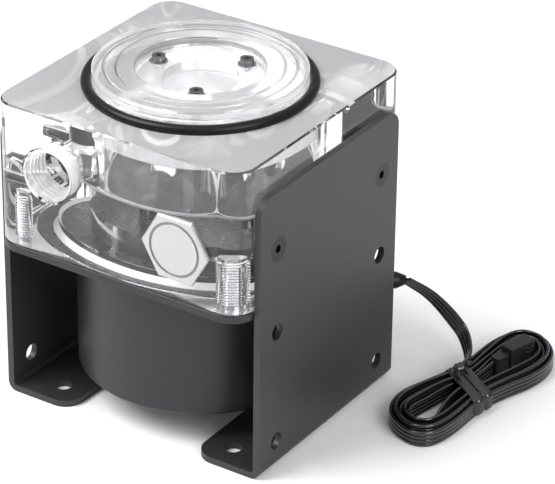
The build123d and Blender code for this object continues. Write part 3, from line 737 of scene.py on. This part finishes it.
def evenly(line, step):
    """Points of a line at least a step apart, with its last one."""
    kept = [line[0]]
    for place in line[1:-1]:
        if (place - kept[-1]).length >= step:
            kept.append(place)
    kept.append(line[-1])
    return kept


def tie_loop():
    """Way a wrap takes round the hank, as (along the wrap, up)."""
    corners = [(-tie_half_length, -tie_half_height), (tie_half_length, -tie_half_height),
               (tie_half_length, tie_half_height), (-tie_half_length, tie_half_height)]
    return rounded(corners, tie_corner, tie_corner_steps)


def tie_wrap(middle):
    """Points of one flat wrap about a middle point."""
    turn = math.radians(tie_turn)
    ahead = Vector((math.cos(turn), math.sin(turn), 0))
    beside = Vector((-math.sin(turn), math.cos(turn), 0))
    points = []
    loop = tie_loop()
    for index, (x, z) in enumerate(loop):
        after = Vector(loop[(index + 1) % len(loop)]) - Vector(loop[index - 1])
        outwards = Vector((after.y, -after.x)).normalized()
        out = ahead * outwards.x + Vector((0, 0, outwards.y))
        for across, through in tie_outline:
            points.append(middle + ahead * x + Vector((0, 0, z)) + beside * across + out * through)
    return points


def tie_twist():
    """Points of the tie's twisted ends, which taper at both ends."""
    start, end = hank_place(*twist_from), hank_place(*twist_to)
    axis = (end - start).normalized()
    level = axis.cross(Vector((0, 0, 1))).normalized()
    points = []
    for step in range(twist_steps + 1):
        share = step / twist_steps
        angle = 2 * math.pi * twist_turns * share
        taper = math.sin(math.pi * (twist_taper_start + twist_taper_span * share))
        swell = math.sqrt(max(twist_taper_least, taper))
        across_way = level * math.cos(angle) + Vector((0, 0, math.sin(angle)))
        through_way = axis.cross(across_way)
        for corner in range(twist_corners):
            around = 2 * math.pi * corner / twist_corners
            points.append(start + (end - start) * share
                          + across_way * twist_half_width * swell * math.cos(around)
                          + through_way * twist_half_thickness * swell * math.sin(around))
    return points


def make_tie():
    """Two wraps of a coated wire tie, and its twisted ends on top of the hank."""
    points, faces = [], []
    for sign in (-1, 1):
        middle = hank_place(tie_reach + sign * tie_gap / 2, tie_across, tie_height)
        faces += tube_faces(len(points), len(tie_loop()), len(tie_outline), closed=True)
        points += tie_wrap(middle)
    faces += tube_faces(len(points), twist_steps + 1, twist_corners)
    points += tie_twist()
    tie = mesh_piece("wire_tie", points, faces, angle=50)
    face_outwards(tie)
    tie.data.materials.append(tie_skin)
    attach(tie, "root")
    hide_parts("cable_tie")
    return tie


def width_direction(walked):
    """Way the ribbon's width points after a length of it, in millimetres."""
    share = min(1.0, walked / flat_length)
    for (start, first), (end, last) in zip(width_turns, width_turns[1:]):
        if share <= end:
            break
    blend = (share - start) / (end - start)
    return Vector(first).lerp(Vector(last), blend).normalized()


def make_cable():
    """Flat cable from its relief to its connector."""
    line = evenly(cable_line(), line_step * MM)
    directions = []
    walked = 0.0
    for index, place in enumerate(line):
        if index:
            walked += (place - line[index - 1]).length
        directions.append(width_direction(walked / MM))
    cable = swept("flat_cable", line, ribbon_outline(), directions)
    cable.data.materials.append(cable_skin)
    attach(cable, "root")
    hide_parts("cable_hank", "cable_lead")
    make_tie()


make_cable()


# Clear block


def placed(obj, matrix):
    """Move a finished mesh by a matrix in millimetres."""
    obj.data.transform(Matrix.Scale(MM, 4) @ matrix @ Matrix.Scale(1 / MM, 4))
    return obj


def on_outside(place):
    """Whether a point in millimetres lies on the block's outer faces."""
    flat = half_block - block_corner_radius
    x, y = abs(place.x) - flat, abs(place.y) - flat
    outside = math.hypot(max(x, 0), max(y, 0)) + min(max(x, y), 0) - block_corner_radius
    return outside > -outer_skin or place.z > block_top - outer_skin


def is_slope(face, place):
    """Whether a face is one of the turned slopes round the pump's seat or the tank's floor."""
    if not slope_least < abs(face.normal.z) < slope_most:
        return False
    reach = math.hypot(place.x, place.y)
    by_seat = pump_seat_radius - pump_seat_relief < reach < pump_seat_radius + pump_seat_chamfer
    by_floor = tank_radius - tank_fillet < reach < tank_radius
    at_seat = place.z < pump_roof - slopes_under_roof
    at_floor = tank_floor < place.z < tank_floor + tank_fillet
    return by_seat and at_seat or by_floor and at_floor


def in_port(place):
    """Whether a point in millimetres lies on the wall of a threaded port."""
    for x, height, side in ports:
        reach = math.hypot(place.x - x, place.z - height)
        outward = side * place.y > half_block - port_thread_depth - port_slack
        if outward and reach < port_radius + bore_slack:
            return True
    return False


def block_finish(face):
    """Material of one of the block's faces."""
    place = face.center / MM
    reach = math.hypot(place.x, place.y)
    # Bottom inside the gasket's edge, over the black plate: painted black
    if place.z < block_bottom + 2 * plate_gap:
        return pump_black if reach < gasket_edge else milled
    # Top face: painted light
    if place.z > block_top - level_slack and face.normal.z > top_least:
        return painted_light_top
    if in_port(place):
        return threaded
    if is_slope(face, place):
        return whitened
    # Flat faces of the pump's recess: painted black as painted shade
    inside_pump = reach < pump_seat_radius and place.z < pump_roof + wall_slack
    if inside_pump and abs(face.normal.z) > flat_least:
        return pump_black
    return polished if on_outside(place) else machined


def port_ridges():
    """Thread ridges of both ports."""
    ridges = []
    for x, height, side in ports:
        ridge = helix_ridge("ridge", port_radius, port_ridge, port_pitch, port_thread_depth,
                            port_pitch * ridge_base_share, port_pitch * crest_share, port_turn_steps)
        place = (x, side * (half_block - port_thread_depth - port_thread_shift), height)
        turn = Matrix.Rotation(math.radians(-90 * side), 4, "X")
        ridges.append(placed(ridge, Matrix.Translation(place) @ turn))
    return ridges


def corner_cutters():
    """Cutters for the threads of the four corner holes."""
    length = corner_hole_depth - corner_thread_shortfall
    cutters = []
    for x in (-corner_offset, corner_offset):
        for y in (-corner_offset, corner_offset):
            cutter = helix_ridge("cutter", corner_radius, -corner_groove, corner_pitch, length,
                                 corner_pitch * groove_base_share, corner_pitch * crest_share,
                                 corner_turn_steps)
            place = Matrix.Translation((x, y, block_bottom + corner_thread_start))
            cutters.append(placed(cutter, place))
    return cutters


def ring_cutters():
    """Cutters for the pump seat's chamfer, the gasket's groove and the seat's relief."""
    seat = pump_seat_radius - cutter_reach
    low = block_bottom - cutter_reach
    chamfer = revolved("chamfer", [
        (seat, low), (seat + pump_seat_chamfer + cutter_reach, low),
        (seat, block_bottom + pump_seat_chamfer)])
    groove = revolved("groove", [
        (gasket_edge - gasket_groove, low), (gasket_edge + gasket_groove, low),
        (gasket_edge, block_bottom + gasket_groove)])
    relief = revolved("relief", [
        (pump_seat_radius - pump_seat_relief, pump_seat_top - relief_reach),
        (pump_seat_radius + relief_reach, pump_seat_top - relief_reach),
        (pump_seat_radius + relief_reach, pump_seat_top + pump_seat_relief)])
    return [chamfer, groove, relief]


def make_block():
    """Clear block with its threads."""
    block = copied("tank_block", "clear_block")
    combined(block, port_ridges(), "UNION")
    corners = corner_cutters()
    combined(block, ring_cutters() + corners, "DIFFERENCE")
    finishes = [polished, machined, milled, pump_black, whitened, painted_light_top, threaded]
    block.data.materials.clear()
    for finish in finishes:
        block.data.materials.append(finish)
    shrink = 1 - plate_gap / half_block
    for vertex in block.data.vertices:
        vertex.co.x *= shrink
        vertex.co.y *= shrink
        if vertex.co.z < (block_bottom + level_slack) * MM:
            vertex.co.z += plate_gap * MM
    for face in block.data.polygons:
        face.material_index = finishes.index(block_finish(face))
    smooth(block.data)
    weigh_normals(block)
    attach(block, "root")
    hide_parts("tank_block")


make_block()


# Cap


def is_shaded(place):
    """Whether a point of the cap lies in a turned ring, a side line or the recess's edge."""
    reach = math.hypot(place.x, place.y)
    in_ring = any(inner < reach < outer for inner, outer in shaded_rings)
    by_side = cap_radius - side_line + level_slack < reach < cap_radius - wall_slack
    by_recess = abs(reach - window_seat) < shaded_recess_reach
    return (in_ring and place.z > cap_top - shaded_ring_depth
            or by_side and place.z < neck_bottom + shaded_line_rise
            or by_recess and place.z > cap_top - shaded_recess_depth)


def make_cap():
    """Clear screw cap: fine lines on its side, turned rings on top."""
    lines = []
    for rise in side_line_heights:
        height = neck_bottom + rise
        lines += [(cap_radius, height - side_line), (cap_radius - side_line, height),
                  (cap_radius, height + side_line)]
    profile = [
        (cap_bore, skirt_bottom), (skirt_radius - skirt_edge, skirt_bottom),
        (skirt_radius, skirt_bottom + skirt_edge), (skirt_radius, neck_bottom),
        (cap_radius, neck_bottom), *lines,
        (cap_radius, cap_top - cap_edge), (cap_radius - cap_edge, cap_top),
        *[(radius, cap_top - depth) for radius, depth in cap_rings],
        (window_seat + recess_edge, cap_top - cap_face_depth),
        (window_seat, cap_top - cap_face_depth - recess_edge),
        (window_seat, ledge_height), (cap_bore, ledge_height),
    ]
    cap = revolved("clear_cap", profile, segments=160, angle=25)
    cap.data.materials.append(turned)
    cap.data.materials.append(shaded)
    for face in cap.data.polygons:
        if is_shaded(face.center / MM):
            face.material_index = 1
    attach(cap, "cap")
    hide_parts("tank_cap")


def make_seal():
    """Round black seal."""
    steps = 32
    section = seal_section / 2
    profile = [
        (seal_radius + section * math.cos(2 * math.pi * s / steps),
         seal_height + section * math.sin(2 * math.pi * s / steps))
        for s in range(steps)
    ]
    seal = revolved("round_seal", profile, segments=192, angle=60)
    seal.data.materials.append(rubber)
    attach(seal, "seal")
    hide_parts("cap_seal")


make_cap()
make_seal()


# Floor, lamps and world


def make_floor():
    """Plain pale floor that keeps the object's shadow."""
    corners = [(-floor_half, -floor_half, -floor_drop), (floor_half, -floor_half, -floor_drop),
               (floor_half, floor_half, -floor_drop), (-floor_half, floor_half, -floor_drop)]
    floor = mesh_piece("floor", corners, [[0, 1, 2, 3]])
    material, shader = new_material("floor", floor_colour, floor_roughness)
    shader.inputs["Specular IOR Level"].default_value = floor_gloss
    floor.data.materials.append(material)


def add_lamp(name, place, aim, size, power):
    """Soft square lamp that points at a place, in metres and watts."""
    data = bpy.data.lights.new(name, "AREA")
    data.shape = "RECTANGLE"
    data.size, data.size_y = size
    data.energy = power
    lamp = use(bpy.data.objects.new(name, data))
    lamp.location = place
    lamp.rotation_euler = (Vector(aim) - Vector(place)).to_track_quat("-Z", "Y").to_euler()


def make_world():
    """White surroundings, full white where they are seen, and overhead where they are reflected."""
    world = bpy.data.worlds.new("studio")
    bpy.context.scene.world = world
    world.use_nodes = True
    tree = world.node_tree
    back = tree.nodes["Background"]
    back.inputs["Color"].default_value = (1, 1, 1, 1)
    path = tree.nodes.new("ShaderNodeLightPath")
    seen = tree.nodes.new("ShaderNodeMath")
    seen.operation = "MAXIMUM"
    level = tree.nodes.new("ShaderNodeMapRange")
    level.inputs["To Min"].default_value = diffuse_strength
    level.inputs["To Max"].default_value = seen_strength
    way = tree.nodes.new("ShaderNodeTexCoord")
    split = tree.nodes.new("ShaderNodeSeparateXYZ")
    overhead = tree.nodes.new("ShaderNodeMapRange")
    overhead.inputs["From Min"].default_value = reflected_from
    overhead.inputs["From Max"].default_value = reflected_to
    overhead.inputs["To Min"].default_value = reflected_low
    overhead.inputs["To Max"].default_value = reflected_high
    pick = tree.nodes.new("ShaderNodeMix")
    tree.links.new(path.outputs["Is Camera Ray"], seen.inputs[0])
    tree.links.new(path.outputs["Is Transmission Ray"], seen.inputs[1])
    tree.links.new(seen.outputs["Value"], level.inputs["Value"])
    tree.links.new(way.outputs["Generated"], split.inputs["Vector"])
    tree.links.new(split.outputs["Z"], overhead.inputs["Value"])
    tree.links.new(path.outputs["Is Glossy Ray"], pick.inputs["Factor"])
    tree.links.new(level.outputs["Result"], pick.inputs["A"])
    tree.links.new(overhead.outputs["Result"], pick.inputs["B"])
    tree.links.new(pick.outputs["Result"], back.inputs["Strength"])


make_floor()
add_lamp("key", (-0.5, -0.5, 0.9), lamp_aim, (0.7, 0.7), 14)
add_lamp("fill", (0.9, -0.3, 0.6), lamp_aim, (0.6, 0.6), 6)
make_world()
bpy.context.scene.view_settings.view_transform = "Standard"
